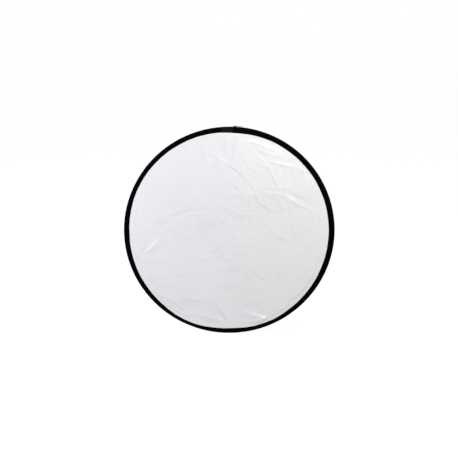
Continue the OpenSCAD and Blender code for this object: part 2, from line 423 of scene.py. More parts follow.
WHITE_SATIN = satin("white_satin", (0.56, 0.56, 0.573), (0.64, 0.64, 0.653), 0.36, Specular_IOR_Level=0.6)
BLACK_NYLON = woven("black_nylon", (0.004, 0.004, 0.005), (0.010, 0.010, 0.012),
                    0.6 * MM, 0.6, 0.10 * MM, Specular_IOR_Level=0.25)
BLACK_TAPE = woven("black_tape", (0.0003, 0.0003, 0.0003), (0.0012, 0.0012, 0.0014),
                   1.1 * MM, 0.85, 0.20 * MM, 0.5, Specular_IOR_Level=0.01)
ZIP_TAPE = woven("zip_tape", (0.001, 0.001, 0.0012), (0.005, 0.005, 0.006),
                 0.8 * MM, 0.75, 0.15 * MM, Specular_IOR_Level=0.06)
SILVER_FOIL = foil("silver_foil", (0.55, 0.56, 0.58), (0.78, 0.79, 0.80))
GOLD_FOIL = foil("gold_foil", (0.62, 0.42, 0.13), (0.86, 0.66, 0.30))
DIFFUSER = woven("diffuser_nylon", (0.80, 0.80, 0.78), (0.90, 0.90, 0.88),
                 0.5 * MM, 0.6, 0.05 * MM, Alpha=0.85)
BLACK_THREAD = thread("black_thread", (0.002, 0.002, 0.0022), (0.008, 0.008, 0.009))
LABEL_THREAD = thread("label_thread", (0.012, 0.014, 0.013), (0.035, 0.040, 0.037))
LABEL_CLOTH = woven("label_cloth", (0.002, 0.0024, 0.0021), (0.0050, 0.0058, 0.0052),
                    0.5 * MM, 0.7, 0.08 * MM, 0.5, Specular_IOR_Level=0.02)
NYLON = plastic("zip_nylon", (0.010, 0.010, 0.011), (0.024, 0.024, 0.026))
ENAMEL = enamel("black_enamel", (0.012, 0.012, 0.013), (0.028, 0.028, 0.030))
CRIMP_STEEL = steel("crimp_steel", (0.50, 0.50, 0.51), (0.68, 0.68, 0.70), (400, 60, 1))
HOOP_STEEL = steel("spring_steel", (0.42, 0.43, 0.46), (0.62, 0.63, 0.65), (8, 2500, 1))


# ---- Shape of the rim and of the loose cloth ----

# The cover has crept round the hoop: direction and spread in degrees, and how much wider, in mm,
# the binding looks there
CREEP = (
    (0, 25, 3.2), (55, 14, 0.8), (85, 8, 3.4), (145, 25, -1.2), (180, 12, 2.4),
    (245, 12, -5.0), (270, 7, 1.5), (292, 10, -3.0), (332, 15, 0.8),
)

# Creases of the white face: half width and height in mm (a hollow is negative), then the points of its
# path in mm, each across and up
CREASES = (
    # upper right: long folds under the rim, and the streaks that run down to the right
    (7, 3.0, 62, 352, 105, 338, 140, 321, 182, 306),
    (7, 2.6, 145, 272, 205, 258, 284, 240),
    (6, 1.7, 72, 318, 110, 286, 148, 250, 175, 192, 200, 162),
    (7, 2.6, 196, 152, 236, 124, 268, 104, 308, 89),
    (9, -2.0, 205, 165, 238, 142, 300, 112),
    (6, 1.7, 112, 166, 150, 152, 192, 146, 230, 126),
    (6, 1.2, 100, 315, 135, 303, 165, 300),
    (6, 1.3, 182, 134, 205, 92, 222, 44),
    (6, 1.2, 88, 330, 150, 300, 214, 285),
    # upper middle: one long arc and its companions
    (6, 2.0, -104, 326, -62, 300, -20, 272, 12, 252, 52, 224, 94, 180),
    (6, 1.6, -4, 210, 25, 181, 50, 155, 68, 118),
    (6, 1.2, -72, 280, -95, 240, -118, 196),
    (6, -1.4, -30, 262, 14, 238, 60, 196),
    # left: a dark bent fold and two that meet near the rim
    (9, -3.4, -306, -30, -252, 20, -214, 56, -150, 80, -62, 86),
    (7, 2.2, -160, 68, -118, 74, -72, 74),
    (10, -4.2, -342, -98, -310, -50, -250, 14),
    (11, 3.6, -330, -104, -296, -60, -244, -6),
    (10, -4.2, -344, -98, -275, -74, -180, -42),
    (8, -2.6, -360, 52, -338, 92, -310, 126),
    (7, 2.0, -330, -12, -290, 24, -262, 70),
    # left, lower: nearly level ripples
    (8, 2.6, -338, -120, -270, -104, -180, -112),
    (7, 2.4, -320, -172, -260, -160, -176, -156),
    (7, -2.0, -250, -186, -200, -176, -140, -170),
    (7, 2.0, -262, -214, -196, -205, -120, -212),
    (7, -1.8, -230, -238, -170, -228, -110, -236),
    # middle: short crumples
    (6, 1.8, -52, 84, -42, 66, -32, 44),
    (6, 1.6, 4, 98, 18, 86, 34, 72),
    (6, 1.8, 60, 94, 84, 58, 106, 24),
    (6, 1.6, 18, 42, 30, 30, 38, 14),
    (6, 2.0, 48, 48, 74, -4, 102, -52),
    (6, 1.8, 66, -2, 84, -26, 98, -48),
    (7, 2.2, 134, 34, 165, 6, 202, -20, 244, -42),
    (6, 1.5, -48, 148, -36, 120, -20, 104),
    (6, 1.3, 96, -54, 170, -57, 250, -60),
    # lower middle
    (7, 3.0, -6, -86, 30, -130, 60, -152, 94, -178),
    (7, -2.4, 52, -138, 100, -168, 154, -206),
    (6, -2.0, 58, -162, 68, -190, 78, -218),
    (6, -2.0, -24, -136, 4, -155, 28, -174),
    (8, 1.6, -120, -100, -60, -118, -10, -160),
    # bottom: a sharp fold down to the rim, and the deep one beside it
    (8, -4.4, -82, -258, -50, -302, -24, -336, -4, -360),
    (8, 3.4, -96, -262, -62, -308, -36, -340, -18, -360),
    (8, 3.0, -70, -252, -38, -294, -12, -328, 10, -352),
    (8, 6.0, -140, -320, -62, -336, 0, -352),
    (8, 5.0, -206, -272, -150, -257, -84, -270),
    (22, -4.0, 0, -262, 76, -288, 120, -312, 160, -338),
    (14, 8.6, 36, -308, 90, -324, 130, -337, 158, -350),
    (8, 2.4, -70, -357, 0, -364, 70, -358),
    # right: short creases that start at the rim
    (6, 1.5, 292, -48, 328, -30, 362, -20),
    (6, 1.8, 250, -146, 288, -182),
    (6, 1.4, 300, 104, 318, 70, 322, 30),
    (7, 1.6, 196, -60, 199, -160, 192, -270),
    (7, 1.4, 222, -130, 220, -250),
)

# How far crumples on top of one another stand out, and how far in and out of its flat plane a face goes
# as it hangs and with its creases added
CRUMPLED = 2.6 * MM
HUNG_RANGE = (-0.4 * MM, 6.0 * MM)
FACE_RANGE = (-2.2 * MM, 9.5 * MM)
CRUMPLES = 80
# Steps of a face's grid, the cloths' thicknesses, how wide a band at the edge the simulation holds and
# how wide a band eases into the slack, how far hanging may move a point, and how far in cloth is tucked
FACE_GRID = 281
FACE_T, LINING_T = 0.3 * MM, 0.2 * MM
HELD_W, LOOSE_W = 9 * MM, 20 * MM
HANG_FRAMES = 14
MOST_MOVED = 3 * MM
TUCKED = 1.5 * MM

# Fine ripples: where they are and how far they reach, in mm, then their pitch and height
RIPPLES = ((-190, -185, 110, 70, 21, 0.35), (-290, 40, 60, 60, 24, 0.25), (60, 30, 90, 90, 17, 0.2))

BACK_CREASES = (
    (14, 2.0, -250, 180, -120, 215, 40, 200, 190, 240),
    (12, 2.2, -180, -40, -60, 30, 90, 40, 240, 110),
    (12, -1.8, -230, -120, -80, -70, 70, -60),
    (10, 1.8, 110, -90, 180, -170, 270, -210),
    (11, 2.0, -120, -200, -30, -270, 80, -300),
    (9, 1.4, -310, 20, -250, -20, -210, -90),
)


def creep(a):
    """How far the front binding's inner edge has moved inwards."""
    total = np.zeros_like(a)
    for centre, spread, amount in CREEP:
        off = np.angle(np.exp(1j * (a - math.radians(centre))))
        total += amount * MM * np.exp(-0.5 * (off / math.radians(spread)) ** 2)
    return total


def inner_edge(a, side):
    """Radius of the binding's inner edge. The back has crept less, and sewing makes both uneven."""
    moved = creep(a) if side > 0 else -0.4 * creep(a + 1.0)
    return BINDING_R - moved + 0.2 * MM * np.sin(23 * a + side) + 0.12 * MM * np.sin(61 * a)


def swell(x, z, wave, height, seed):
    """Smooth unevenness with bumps about half a wave apart, the same on each run."""
    chance = np.random.default_rng(seed)
    total = np.zeros_like(x)
    for _ in range(9):
        direction, phase = chance.uniform(0, TURN, 2)
        number = TURN / (wave * chance.uniform(0.7, 1.4))
        total += np.sin(number * (x * math.cos(direction) + z * math.sin(direction)) + phase)
    return total * height / 3


def smooth_path(points, steps):
    """Catmull-Rom curve through a crease's few points, in metres."""
    p = np.array(points, float) * MM
    p = np.vstack([2 * p[0] - p[1], p, 2 * p[-1] - p[-2]])
    t = np.linspace(0, 1, steps, endpoint=False)[:, None]
    curve = []
    for a, b, c, d in zip(p, p[1:], p[2:], p[3:]):
        square, cube = 2 * a - 5 * b + 4 * c - d, 3 * b - a - 3 * c + d
        curve.append(0.5 * (2 * b + (c - a) * t + square * t ** 2 + cube * t ** 3))
    return np.vstack([*curve, p[-2:-1]])


def crease(x, z, half_width, height, points, steps=8):
    """Height of one crease: a ridge that is steeper on its left, fading out at both of its ends."""
    path = smooth_path(points, steps)
    best = np.full(x.shape, np.inf)
    along, side = np.zeros_like(x), np.zeros_like(x)
    for k, (a, b) in enumerate(zip(path, path[1:])):
        step = b - a
        t = np.clip(((x - a[0]) * step[0] + (z - a[1]) * step[1]) / (step @ step), 0, 1)
        dx, dz = x - a[0] - t * step[0], z - a[1] - t * step[1]
        gap = np.hypot(dx, dz)
        nearer = gap < best
        best = np.where(nearer, gap, best)
        along = np.where(nearer, (k + t) / (len(path) - 1), along)
        side = np.where(nearer, np.sign(step[0] * dz - step[1] * dx), side)
    width = half_width * MM * np.where(side > 0, 0.6, 1.15)
    fade = np.clip(4 * along * (1 - along), 0, 1) ** 0.7
    return height * MM * fade / np.cosh(1.5 * best / width)


def ripples(x, z, across, up, wide, tall, pitch, height):
    """A patch of faint ripples that lie nearly level."""
    x, z = x / MM - across, z / MM - up
    wander = z + 6 * np.sin(x / 37) - 0.12 * x
    beat = 0.6 + 0.4 * np.sin(x / 23 + z / 31)
    return height * MM * beat * np.sin(TURN * wander / pitch) * np.exp(-((x / wide) ** 2) - (z / tall) ** 2)


def crumples(x, z, count, seed):
    """Fine short creases, thickest round the middle, where the disc is gripped and twisted to pack it."""
    chance = np.random.default_rng(seed)
    total = np.zeros_like(x)
    for _ in range(count):
        middle = chance.normal((30, 25), (95, 105))
        turn, length = chance.uniform(0, TURN), chance.uniform(40, 120)
        step = np.array([math.cos(turn), math.sin(turn)]) * length / 2
        bend = np.array([-step[1], step[0]]) * chance.uniform(-0.3, 0.3)
        height = chance.choice((-1, 1)) * chance.uniform(0.8, 1.7)
        path = (middle - step, middle + bend, middle + step)
        total += crease(x, z, chance.uniform(4.5, 6), height, path, 4)
    return CRUMPLED * np.tanh(total / CRUMPLED)


def cloth_grid(radius, count):
    """Points of a round cloth on a square grid that is eased out to a circle."""
    u, v = np.meshgrid(np.linspace(-1, 1, count), np.linspace(-1, 1, count), indexing="ij")
    return radius * u * np.sqrt(1 - v * v / 2), radius * v * np.sqrt(1 - u * u / 2)


def free_of_rim(x, z, side):
    """0 where the binding holds a face down, 1 where it is loose."""
    held = inner_edge(np.arctan2(z, x), side) - TUCKED
    free = np.clip((held - np.hypot(x, z)) / LOOSE_W, 0, 1)
    return free * free * (3 - 2 * free)


def slack(x, z, seed):
    """The broad shape of a loose face, before it hangs."""
    height = 2.6 * MM * (1 - (x * x + z * z) / CLOTH_R ** 2)
    return height + swell(x, z, 0.30, 1.2 * MM, seed) + swell(x, z, 0.10, 0.3 * MM, seed + 1)


def set_creases(x, z, creases, seed, side):
    """The relief left in the cloth by being packed away, and its gathers along the binding."""
    height = swell(x, z, 0.03, 0.05 * MM, seed + 2) + crumples(x, z, CRUMPLES, seed + 3)
    if side > 0:
        height += sum(ripples(x, z, *patch) for patch in RIPPLES)
    for half_width, tall, *path in creases:
        height += crease(x, z, half_width, tall, np.reshape(path, (-1, 2)))
    r, a = np.hypot(x, z), np.arctan2(z, x)
    inwards = inner_edge(a, side) - TUCKED - r
    gathers = 0.30 * MM * np.sin(67 * a + 3 * np.sin(5 * a)) * np.exp(-((inwards / MM - 9) / 9) ** 2)
    return free_of_rim(x, z, side) * height + np.where(inwards > 0, gathers, 0)


def finer(grid):
    """Twice as many steps each way: the points between lie on a cubic through their neighbours."""
    for _ in range(2):
        ends = np.concatenate([2 * grid[:1] - grid[1:2], grid, 2 * grid[-1:] - grid[-2:-1]])
        between = (9 * (grid[:-1] + grid[1:]) - ends[:-3] - ends[3:]) / 16
        out = np.empty((2 * len(grid) - 1, *grid.shape[1:]))
        out[::2], out[1::2] = grid, between
        grid = np.swapaxes(out, 0, 1)
    return grid


# ---- Cloth ----

def settled(x, z, height):
    """Lets Blender's cloth hang in a face's own slack, held all round by the binding. Returns its moves."""
    count = x.shape[0]
    points = np.stack([x, -height, z], axis=-1)
    mesh = bpy.data.meshes.new("settling")
    mesh.from_pydata(points.reshape(-1, 3).tolist(), [], quads(count, count))
    obj = bpy.data.objects.new("settling", mesh)
    scene = bpy.context.scene
    scene.collection.objects.link(obj)
    held = obj.vertex_groups.new(name="held")
    held.add(np.flatnonzero(np.hypot(x, z).ravel() > BINDING_R - HELD_W).tolist(), 1.0, "REPLACE")
    cloth = obj.modifiers.new("cloth", "CLOTH")
    cloth.settings.vertex_group_mass = held.name
    cloth.settings.quality = 5
    cloth.settings.mass = 0.012
    cloth.settings.tension_stiffness = 25
    cloth.settings.compression_stiffness = 25
    cloth.settings.bending_stiffness = 0.6
    cloth.settings.shrink_min = -0.004
    cloth.settings.effector_weights.gravity = 0.25
    cloth.point_cache.frame_start, cloth.point_cache.frame_end = 1, HANG_FRAMES
    for f in range(1, HANG_FRAMES + 1):
        scene.frame_set(f)
    graph = bpy.context.evaluated_depsgraph_get()
    result = obj.evaluated_get(graph).data
    out = np.empty(len(result.vertices) * 3, np.float32)
    result.vertices.foreach_get("co", out)
    scene.frame_set(1)
    bpy.data.objects.remove(obj)
    return np.clip(out.reshape(points.shape) - points, -MOST_MOVED, MOST_MOVED)


def kept_between(value, low, high):
    """value, eased off as it nears low or high and never past them."""
    soft = (high - low) / 5
    over = np.maximum(value - high + soft, 0)
    under = np.maximum(low + soft - value, 0)
    return value - over + soft * np.tanh(over / soft) + under - soft * np.tanh(under / soft)


def lowest_near(surface):
    """A surface that stays behind every neighbouring point of another."""
    depth = np.pad(surface[..., 1], 2, mode="edge")
    rows, cols = surface.shape[:2]
    windows = [depth[i:i + rows, j:j + cols] for i in range(5) for j in range(5)]
    behind = surface.copy()
    behind[..., 1] = np.max(windows, axis=0)
    return behind


def rim_of(grid):
    """A grid's border, once round."""
    return np.concatenate([grid[0, :-1], grid[:-1, -1], grid[-1, :0:-1], grid[:0:-1, 0]]).tolist()


def sheet_piece(name, surface, thickness, side, material):
    """A closed sheet of cloth under a surface that looks forwards. It faces backwards if side is -1."""
    count = surface.shape[0]
    # the hidden underside has half as many steps, and the edge's faces join two steps above to one below
    under = lowest_near(surface)[::2, ::2] + np.array([0, thickness, 0])
    points = np.concatenate([surface.reshape(-1, 3), under.reshape(-1, 3)]) * np.array([1, side, 1])
    above = rim_of(np.arange(count * count).reshape(count, count))
    coarse = under.shape[0]
    below = rim_of(count * count + np.arange(coarse * coarse).reshape(coarse, coarse))
    wall = [
        [a, b, c, e, d] for a, b, c, d, e in
        zip(above[::2], above[1::2], above[2::2] + above[:1], below, below[1:] + below[:1])
    ]
    under_faces = [f[::-1] for f in quads(coarse, coarse, start=count * count)]
    cloth = np.stack([points[:, 0], points[:, 2], np.zeros(len(points))], axis=-1)
    return piece(name, points, quads(count, count) + under_faces + wall, material, cloth)


def face_and_lining(side, creases, seed, face, lining):
    """One face of the cover and the metallised lining behind it, both as (name, node, material, slot); the
    slot is not used.
    """
    count = FACE_GRID
    x, z = cloth_grid(CLOTH_R, count)
    free = free_of_rim(x, z, side)
    broad = CLOTH_D + free * slack(x, z, seed)
    surface = np.stack([x, -broad, z], axis=-1)
    surface += finer(settled(x[::2, ::2], z[::2, ::2], broad[::2, ::2]))
    surface[..., 1] = -CLOTH_D - free * kept_between(-surface[..., 1] - CLOTH_D, *HUNG_RANGE)
    surface[..., 1] -= set_creases(x, z, creases, seed, side)
    surface[..., 1] = -CLOTH_D - kept_between(-surface[..., 1] - CLOTH_D, *FACE_RANGE)
    behind = lowest_near(surface)[::2, ::2] * np.array([LINING_R / CLOTH_R, 1, LINING_R / CLOTH_R])
    behind[..., 1] += CLOTH_D - LINING_D
    for points, (name, node, material, slot), thickness, radius in (
        (surface, face, FACE_T, CLOTH_R), (behind, lining, LINING_T, LINING_R),
    ):
        obj = sheet_piece(name, points, thickness, side, material)
        across_fold(obj, *both(node))


def diffuser():
    """Translucent cloth stretched in the hoop, with only a faint unevenness."""
    x, z = cloth_grid(DIFFUSER_R, 97)
    held = np.clip((DIFFUSER_R - 14 * MM - np.hypot(x, z)) / (40 * MM), 0, 1)
    height = 0.15 * MM + held * swell(x, z, 0.22, 0.5 * MM, 41)
    points = np.stack([x, -height, z], axis=-1)
    obj = sheet_piece("diffuser_cloth", points, 0.3 * MM, 1, DIFFUSER)
    across_fold(obj, *both("diffuser_panel"))


# ---- Sewing ----

STITCHES = 600
STITCH_ROWS = (2.0 * MM, BINDING_R + 13.4 * MM)


def stitch_template(length, thickness, sides=5):
    """One stitch along X, rounded, with its two ends diving into the cloth. Z is out of the cloth."""
    # place along the stitch, size and rise of each ring
    half = ((-0.5, 0.35, -0.8), (-0.38, 0.85, -0.1))
    stations = (*half, (0.0, 1.0, 0.25), *((-x, size, rise) for x, size, rise in half[::-1]))
    turn = np.arange(sides) * TURN / sides
    rings = [
        np.stack([np.full(sides, x * length), size * thickness / 2 * np.cos(turn),
                  thickness / 2 * (size * np.sin(turn) + rise)], axis=-1)
        for x, size, rise in stations
    ]
    last = (len(stations) - 1) * sides
    caps = [list(range(sides))[::-1], list(range(last, last + sides))]
    return np.concatenate(rings), quads(len(stations), sides, wrap_cols=True) + caps


def frames_along(points, outwards):
    """Origin and axes of stitches from one point to the next round a closed line."""
    ahead = np.roll(points, -1, axis=0) - points
    x = ahead / np.linalg.norm(ahead, axis=1, keepdims=True)
    y = np.cross(outwards, x)
    return points + ahead / 2, np.stack([x, y, np.broadcast_to(outwards, x.shape)], axis=1)


def row_of_stitches(a, r, d, side):
    """Frames for a row of stitches round the disc."""
    return frames_along(at(r, a, side * d), np.array([0.0, -side, 0.0]))


def round_line(corners, counts):
    """Points along a closed line, with each side split into its own count of parts."""
    spots = []
    for (a0, d0), (a1, d1), count in zip(corners, corners[1:] + corners[:1], counts):
        spots += [(a0 + (a1 - a0) * k / count, d0 + (d1 - d0) * k / count) for k in range(count)]
    return np.array(spots)


def sewn(name, rows, length, thickness, material):
    template, faces = stitch_template(length, thickness)
    origins, axes = (np.concatenate(part) for part in zip(*rows))
    return repeated(name, template, faces, origins, axes, material)


def binding_stitching(name, side):
    """Two rows of lockstitch, one near the inner edge and one near the rim."""
    a = np.arange(STITCHES) * TURN / STITCHES
    depth = FACE_D - 0.08 * MM
    rows = [
        row_of_stitches(a, inner_edge(a, side) + STITCH_ROWS[0], depth, side),
        row_of_stitches(a + 0.003, np.full(STITCHES, STITCH_ROWS[1]), depth, side),
    ]
    obj = sewn(name, rows, 3.1 * MM, 0.6 * MM, BLACK_THREAD)
    return across_fold(obj, *both(name))


# ---- Rim ----

def puckered(a):
    """Height of a sewn tape at each angle: pulled down at every stitch, and a little uneven."""
    pull = 0.05 * MM * np.cos(STITCHES * a)
    return pull + 0.10 * MM * np.sin(11 * a + 1) * np.sin(29 * a) + 0.05 * MM * np.sin(83 * a)


def corner(radius, first, last, count):
    """Part of a circle round the rim's corner, in degrees from the rim towards the face."""
    r, d = CORNER_CENTRE
    turn = np.radians(np.linspace(first, last, count))
    return [(r + radius * math.cos(t), d + radius * math.sin(t)) for t in turn]


def binding(name, side):
    """Binding tape on one face, folded round the corner of the rim."""
    a = np.arange(4 * STITCHES) * TURN / (4 * STITCHES)
    edge, lift = inner_edge(a, side), puckered(a)
    outer_row, under = STITCH_ROWS[1], CLOTH_D + 0.02 * MM
    near = [(0.0, -0.45), (0.25, -0.12), (0.9, 0.06), (1.5, 0.0), (2.0, -0.2), (2.5, 0.0), (3.3, 0.1)]
    section = [(edge + off * MM, FACE_D + rise * MM + lift * (rise > -0.3)) for off, rise in near]
    middle = (edge + 3.3 * MM + outer_row) / 2
    section += [(middle, FACE_D + 0.14 * MM + 1.5 * lift)]
    section += [(outer_row + off * MM, FACE_D + rise * MM + lift) for off, rise in
                ((-1.2, 0.08), (-0.5, 0.0), (0.0, -0.2), (0.5, 0.0), (1.2, 0.05))]
    section += corner(CORNER_R, 82, 25, 7) + corner(CORNER_R - TAPE_T, 25, 90, 5)
    section += [(r, under) for r in (outer_row, middle, edge + 0.2 * MM)]
    table = np.stack([np.stack([r + 0 * a, side * d + 0 * a], axis=-1) for r, d in section], axis=1)
    wear = [0.35, 0.2] + [0] * 11 + [0.15, 0.3, 0.5, 0.5, 0.4, 0.2, 0.2] + [0] * 8
    obj = sweep(name, a, table, BLACK_TAPE, whole=True, wear=wear)
    return across_fold(obj, *both(name))


def degrees_apart(first, last, step):
    """Angles from first to last, in radians, about step degrees apart."""
    count = max(2, int(abs(last - first) / math.radians(step)) + 1)
    return np.linspace(first, last, count)


def constant(section, a):
    return np.broadcast_to(np.array(section)[None], (len(a), len(section), 2)).copy()


def edge_gusset():
    """Plain tape over the edge, where there is no zip."""
    a = degrees_apart(ZIP_ENDS[1] + ZIP_GAP, ZIP_ENDS[0] - ZIP_GAP + TURN, 0.3)
    outer, inner = EDGE_R, EDGE_R - EDGE_T
    flat = CORNER_CENTRE[1]
    section = corner(outer, 60, 0, 5) + [(RIM_R + 0.1 * MM, flat * k) for k in (0.5, 0, -0.5)]
    section += [(r, -d) for r, d in corner(outer, 0, 60, 5) + corner(inner, 60, 0, 4)]
    section += corner(inner, 0, 60, 4)
    table = constant(section, a)
    table[:, 5:8, 0] += (0.12 * MM * np.sin(31 * a) + 0.08 * MM * np.sin(77 * a))[:, None]
    wear = [0.1] * 5 + [0.5] * 3 + [0.1] * 5 + [0] * 8
    obj = sweep("edge_gusset", a, table, BLACK_TAPE, wear=wear)
    return across_fold(obj, *both("edge_gusset"))


def zip_tape(name, side):
    a = degrees_apart(*ZIP_ENDS, 0.25)
    start_d, edge_d, ease = 2 * MM, 0.5 * MM, 0.15 * MM
    section = corner(EDGE_R, 60, 0, 5) + [(RIM_R, start_d), (RIM_R, edge_d + ease), (RIM_R - ease, edge_d)]
    section += [(RIM_R - EDGE_T, edge_d), (RIM_R - EDGE_T, start_d)] + corner(EDGE_R - EDGE_T, 0, 60, 4)
    section = [(r, side * d) for r, d in section]
    wear = [0.1] * 5 + [0.4] * 3 + [0] * 6
    obj = sweep(name, a, constant(section, a), ZIP_TAPE, wear=wear)
    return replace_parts(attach(obj, "right_half"), name)


# ---- Zip ----

TOOTH_PITCH = 1.7 * MM
FILAMENT_R = 0.29 * MM


def zip_coil(name, side):
    """A row of teeth: one nylon filament wound in a flattened coil, its heads meeting the other row's."""
    turns = int((COIL_ENDS[1] - COIL_ENDS[0]) * COIL_R / TOOTH_PITCH)
    per_turn, sides = 12, 5
    t = np.arange(turns * per_turn + 1) / per_turn
    shift = 0.0 if side > 0 else 0.5
    a = COIL_ENDS[0] + (t + shift) * TOOTH_PITCH / COIL_R
    phase = TURN * t
    half_d, half_r = 1.30 * MM, 0.60 * MM
    mid_d, mid_r = 1.05 * MM, RIM_R + 0.9 * MM
    d = side * (mid_d - half_d * np.cos(phase))
    line = at(mid_r + half_r * np.sin(phase), a, d)
    core = at(np.full_like(a, mid_r), a, np.full_like(a, side * mid_d))
    ahead = np.gradient(line, axis=0)
    ahead /= np.linalg.norm(ahead, axis=1, keepdims=True)
    out = line - core
    out -= (out * ahead).sum(1, keepdims=True) * ahead
    out /= np.linalg.norm(out, axis=1, keepdims=True)
    across = np.cross(ahead, out)
    head = 1 + 0.35 * np.exp(-((np.angle(np.exp(1j * phase)) / 0.6) ** 2))
    turn = (np.arange(sides) * TURN / sides)[None, :, None]
    ring = out[:, None] * np.cos(turn) + across[:, None] * np.sin(turn) * head[:, None, None]
    points = line[:, None] + FILAMENT_R * ring
    faces = quads(len(t), sides, wrap_cols=True) + end_caps(len(t), sides)
    obj = piece(name, points, faces, NYLON)
    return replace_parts(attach(obj, "right_half"), name)


def end_tab(name, middle, width):
    """Cloth tab over an end of the zip, sewn down round its edge."""
    a = np.linspace(middle - width / 2, middle + width / 2, 26)
    low, high, half = RIM_R + 0.02 * MM, RIM_R + 0.7 * MM, 3.9 * MM
    # how far in from its side each point is, and how far it rises over the tab's top
    across = ((0, -0.2), (0.3, 0), (0.9, -0.12), (1.5, 0))
    section = [(low, half)] + [(high + rise * MM, half - off * MM) for off, rise in across]
    section += [(high + 0.05 * MM, 0)] + [(r, -d) for r, d in section[::-1]]
    table = constant(section, a)
    ends = np.exp(-((np.minimum(a - a[0], a[-1] - a) * RIM_R / MM / 0.5) ** 2))
    table[:, 1:10, 0] -= 0.3 * MM * ends[:, None]
    wear = [0, 0.5, 0.6, 0, 0.1, 0.2, 0.1, 0, 0.6, 0.5, 0]
    obj = sweep(name, a, table, ZIP_TAPE, wear=wear)
    inset = 0.9 * MM
    reach, depth = width / 2 - inset / RIM_R, half - inset
    first, last = middle - reach, middle + reach
    corners = [(first, -depth), (last, -depth), (last, depth), (first, depth)]
    spots = round_line(corners, (5, 3, 5, 3))
    outwards = at(1.0, np.full(len(spots), middle), 0.0)
    rows = [frames_along(at(high, spots[:, 0], spots[:, 1]), outwards)]
    seam = sewn(name + "_stitching", rows, 1.8 * MM, 0.4 * MM, BLACK_THREAD)
    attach(seam, "right_half")
    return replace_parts(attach(obj, "right_half"), "zip_end_tabs")


# ---- Slider and pull: x is along the rim towards the open end, y along the disc's axis, h the radius ----

PLATE_TOP = radii("slider_body")[1]
PLATE_T = 1.1 * MM


def tapered(x0, half0, x1, half1):
    """Corners, from mm to metres, of a shape that is 2 half0 wide at x0 and 2 half1 wide at x1."""
    return np.array([(x0, -half0), (x1, -half1), (x1, half1), (x0, half0)]) * MM


def on_rim(x, h, y):
    return at(h, SLIDER_A - x / COIL_R, y)


def arc(cx, cy, radius, first, last, count):
    """Points round a centre, from mm to metres. The angles are in degrees."""
    turn = np.radians(np.linspace(first, last, count))
    return np.stack([cx + radius * np.cos(turn), cy + radius * np.sin(turn)], axis=-1) * MM


def rounded(corners, radius, count=6):
    """Outline through corners, given anticlockwise, each rounded to a radius."""
    c = np.array(corners, float)
    out = []
    for before, here, after in zip(np.roll(c, 1, axis=0), c, np.roll(c, -1, axis=0)):
        u, v = before - here, after - here
        u, v = u / np.linalg.norm(u), v / np.linalg.norm(v)
        half = math.acos(np.clip(u @ v, -1, 1)) / 2
        middle = here + (u + v) / np.linalg.norm(u + v) * radius / math.sin(half)
        cut = radius / math.tan(half)
        start, stop = here + u * cut - middle, here + v * cut - middle
        a0, a1 = math.atan2(start[1], start[0]), math.atan2(stop[1], stop[0])
        a1 += TURN if a1 < a0 else 0
        turn = np.linspace(a0, a1, count)
        out.append(middle + radius * np.stack([np.cos(turn), np.sin(turn)], axis=-1))
    return np.concatenate(out)


def plate(outlines, thickness, bevel):
    """Points and faces of a flat plate with rounded edges. Outlines after the first are holes."""
    curve = bpy.data.curves.new("plate", "CURVE")
    curve.dimensions, curve.fill_mode = "2D", "BOTH"
    curve.extrude, curve.offset = thickness / 2 - bevel, -bevel
    curve.bevel_depth, curve.bevel_resolution = bevel, 2
    for outline in outlines:
        line = curve.splines.new("POLY")
        line.points.add(len(outline) - 1)
        height, weight = np.zeros(len(outline)), np.ones(len(outline))
        line.points.foreach_set("co", np.column_stack([outline, height, weight]).ravel())
        line.use_cyclic_u = True
    obj = bpy.data.objects.new("plate", curve)
    bpy.context.scene.collection.objects.link(obj)
    graph = bpy.context.evaluated_depsgraph_get()
    mesh = bpy.data.meshes.new_from_object(obj.evaluated_get(graph))
    points = np.array([v.co for v in mesh.vertices])
    faces = [list(p.vertices) for p in mesh.polygons]
    bpy.data.objects.remove(obj)
    return points, faces


def joined(parts):
    """Several (points, faces) as one."""
    points, faces, start = [], [], 0
    for p, f in parts:
        points.append(p)
        faces += [[v + start for v in face] for face in f]
        start += len(p)
    return np.concatenate(points), faces


def bent_plate(outlines, h_low, h_high, bevel):
    """A plate between two radii, curved with the rim."""
    points, faces = plate(outlines, h_high - h_low, bevel)
    return on_rim(points[:, 0], (h_low + h_high) / 2 + points[:, 2], points[:, 1]), faces


def slider_body():
    """Two plates joined by a post at the mouth, with flanges that hold the teeth in."""
    inner_top, under, sunk = RIM_R - 0.65 * MM, PLATE_TOP - PLATE_T, 0.1 * MM
    top = rounded(tapered(-5.5, 3.9, 5.5, 3.3), 1.0 * MM)
    bottom = rounded(tapered(-5.4, 3.2, 5.4, 3.0), 0.9 * MM)
    post = rounded(tapered(-5.4, 0.35, -2.4, 0.2), 0.12 * MM)
    flange = rounded(np.array([(-4.9, 2.95), (5.0, 2.86), (5.0, 3.28), (-4.9, 3.86)]) * MM, 0.18 * MM)
    parts = [
        bent_plate([top], under, PLATE_TOP, 0.28 * MM),
        bent_plate([bottom], inner_top - PLATE_T, inner_top, 0.25 * MM),
        bent_plate([post], inner_top - sunk, under + sunk, 0.05 * MM),
    ]
    for outline in (flange, flange[::-1] * np.array([1, -1])):
        parts.append(bent_plate([outline], RIM_R + 0.28 * MM, under + 0.15 * MM, 0.1 * MM))
    points, faces = joined(parts)
    obj = outward(piece("slider_body", points, faces, ENAMEL), weld=True)
    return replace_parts(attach(obj, "slider"), "slider_body")


